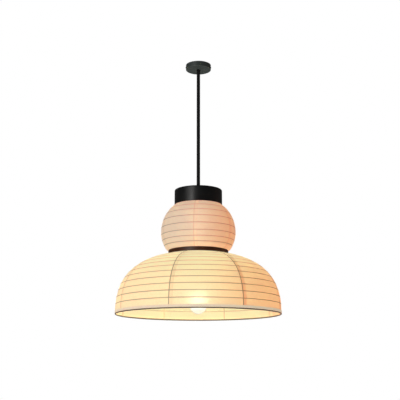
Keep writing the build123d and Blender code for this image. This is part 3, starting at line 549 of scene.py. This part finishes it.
def make_world():
    """White to the camera, and a dimmer soft studio for everything that it lights."""
    world = bpy.data.worlds.new("studio")
    bpy.context.scene.world = world
    world.use_nodes = True
    tree = world.node_tree
    seen = tree.nodes["Background"]
    seen.inputs["Color"].default_value = (1, 1, 1, 1)
    seen.inputs["Strength"].default_value = 1.0
    lighting = tree.nodes.new("ShaderNodeBackground")
    lighting.inputs["Color"].default_value = WORLD_COLOUR
    lighting.inputs["Strength"].default_value = WORLD_STRENGTH
    path = tree.nodes.new("ShaderNodeLightPath")
    pick = tree.nodes.new("ShaderNodeMixShader")
    tree.links.new(path.outputs["Is Camera Ray"], pick.inputs["Fac"])
    tree.links.new(lighting.outputs[0], pick.inputs[1])
    tree.links.new(seen.outputs[0], pick.inputs[2])
    tree.links.new(pick.outputs[0], tree.nodes["World Output"].inputs["Surface"])


def area_light(name, azimuth, distance, z, aim_z, size, watts, colour):
    """Soft light aimed at the pendant's axis, and hidden from the camera."""
    data = bpy.data.lights.new(name, "AREA")
    data.shape = "RECTANGLE"
    data.size, data.size_y = size
    data.energy = watts
    data.color = colour
    light = bpy.data.objects.new(name, data)
    bpy.context.collection.objects.link(light)
    light.location = around(azimuth, distance, z)
    aim = Vector((0, 0, aim_z)) - light.location
    light.rotation_euler = aim.to_track_quat("-Z", "Y").to_euler()
    light.visible_camera = False
    return light


def make_lights():
    middle = (rim_z + cap_base_z) / 2
    for name, azimuth, distance, height, aim, size, watts, colour in STUDIO_LIGHTS:
        area_light(name, azimuth, distance, middle + height, middle + aim, size, watts, colour)
    bounce = area_light("floor_bounce", 0, 0, FLOOR_Z + BOUNCE_OVER_FLOOR, rim_z, (FLOOR_HALF, FLOOR_HALF),
                        BOUNCE_WATTS, BOUNCE_COLOUR)
    bounce.rotation_euler = (math.pi, 0, 0)  # straight up
    glow = bpy.data.lights.new("bulb_light", "POINT")
    glow.energy = BULB_WATTS
    glow.color = BULB_COLOUR
    glow.shadow_soft_size = bulb_r * 1.02
    lamp = bpy.data.objects.new("bulb_light", glow)
    bpy.context.collection.objects.link(lamp)
    lamp.location = bulb_centre
    # The glass is what shows; the lamp only lights, so that no second spot is seen through the paper.
    lamp.visible_camera = lamp.visible_transmission = lamp.visible_glossy = False
    nodes["bulb_glass"].visible_shadow = False


# ---------------------------------------------------------------- the build
def make_shades():
    # near and far set the painted glow; left and right set its painted side shading.
    dome_paper = paper_finish(
        "dome_paper", widest=dome_r, rib_depth=0.55, seam_depth=0.62,
        near=(0.41, 0.41, 0.265), far=(0.50, 0.325, 0.18), left=(0.96, 0.86, 0.90), right=(0.90, 0.38, 0.22))
    globe_paper = paper_finish(
        "globe_paper", widest=GLOBE_D / 2, rib_depth=0.42, seam_depth=0.22,
        near=(0.65, 0.40, 0.28), far=(0.56, 0.34, 0.275), left=(0.66, 0.84, 0.96), right=(0.84, 0.56, 0.42))
    for shade, corners, seams, paper in (
        ("dome", dome_outline(), DOME_SEAMS, dome_paper),
        ("globe", globe_outline(), GLOBE_SEAMS, globe_paper),
    ):
        ripple = ripples(RIPPLE_SEED[shade], len(corners) - 1)
        for index in range(len(seams)):
            paper_gore(f"{shade}_gore_{index + 1}", shade, corners, seams, index, ripple, paper)


def make_finishes():
    black = (0.0045, 0.0045, 0.0048)
    dress(lacquer_finish("black_lacquer", black, 0.36), "canopy_screws", "cap")
    dress(lacquer_finish("canopy_coat", (0.042, 0.052, 0.050), 0.42), "canopy")
    dress(lacquer_finish("rod_lacquer", black, 0.5, gloss=0.22, peel=0.02), "suspension_rod")
    dress(stained_wood_finish(), "neck_ring")
    zinc = metal_finish("zinc_steel", (0.42, 0.43, 0.44), (0.62, 0.63, 0.64), 0.28, 0.5)
    dress(zinc, "ceiling_plate", "swivel_ball", "block_screw", "cap_washer", "stem_nuts", "ring_screws",
          "inner_stem", "upper_spider", "neck_spider")
    brass = metal_finish("turned_brass", (0.62, 0.43, 0.18), (0.80, 0.60, 0.30), 0.2, 0.4, (1, 1, 12))
    dress(brass, "swivel_seat", "terminal_screws", "holder_shell", "holder_contact")
    nylon = plastic_finish("natural_nylon", (0.82, 0.81, 0.77), 0.5)
    dress(nylon, "swivel_liner", "terminal_block", "cord_grip")
    dress(plastic_finish("blue_core", (0.03, 0.12, 0.45), 0.4), "neutral_core")
    dress(plastic_finish("green_yellow_core", (0.30, 0.45, 0.04), 0.4), "earth_core")
    dress(plastic_finish("brown_core", (0.16, 0.07, 0.03), 0.4), "live_core", "holder_cores")
    dress(plastic_finish("flex_sheath", (0.02, 0.02, 0.02), 0.6), "supply_flex")
    wire = lacquer_finish("frame_wire", (0.70, 0.60, 0.40), 0.5)
    dress(wire, "dome_hoops", "dome_uprights", "globe_hoops", "globe_uprights")
    dress(lacquer_finish("rim_wire", (0.10, 0.062, 0.045), 0.5), "rim_hoop")
    dress(hem_finish(), "hem_tape")
    dress(plastic_finish("holder_thermoset", (0.02, 0.02, 0.02), 0.45), "holder_cap", "holder_skirt")
    dress(plastic_finish("porcelain", (0.85, 0.84, 0.80), 0.35), "holder_insert")
    dress(opal_finish(), "bulb_glass")
    dress(plastic_finish("bulb_collar", (0.85, 0.84, 0.80), 0.35), "bulb_collar")
    screw_metal = metal_finish("bulb_metal", (0.55, 0.55, 0.56), (0.78, 0.78, 0.79), 0.22, 0.42, (1, 1, 10))
    dress(screw_metal, "bulb_screw_cap", "bulb_tip")
    dress(metal_finish("led_board", (0.70, 0.70, 0.68), (0.80, 0.80, 0.78), 0.35, 0.5), "bulb_led_board")


make_camera()
make_floor()
make_world()
make_lights()
make_shades()
make_finishes()
bpy.context.scene.view_settings.view_transform = "Standard"
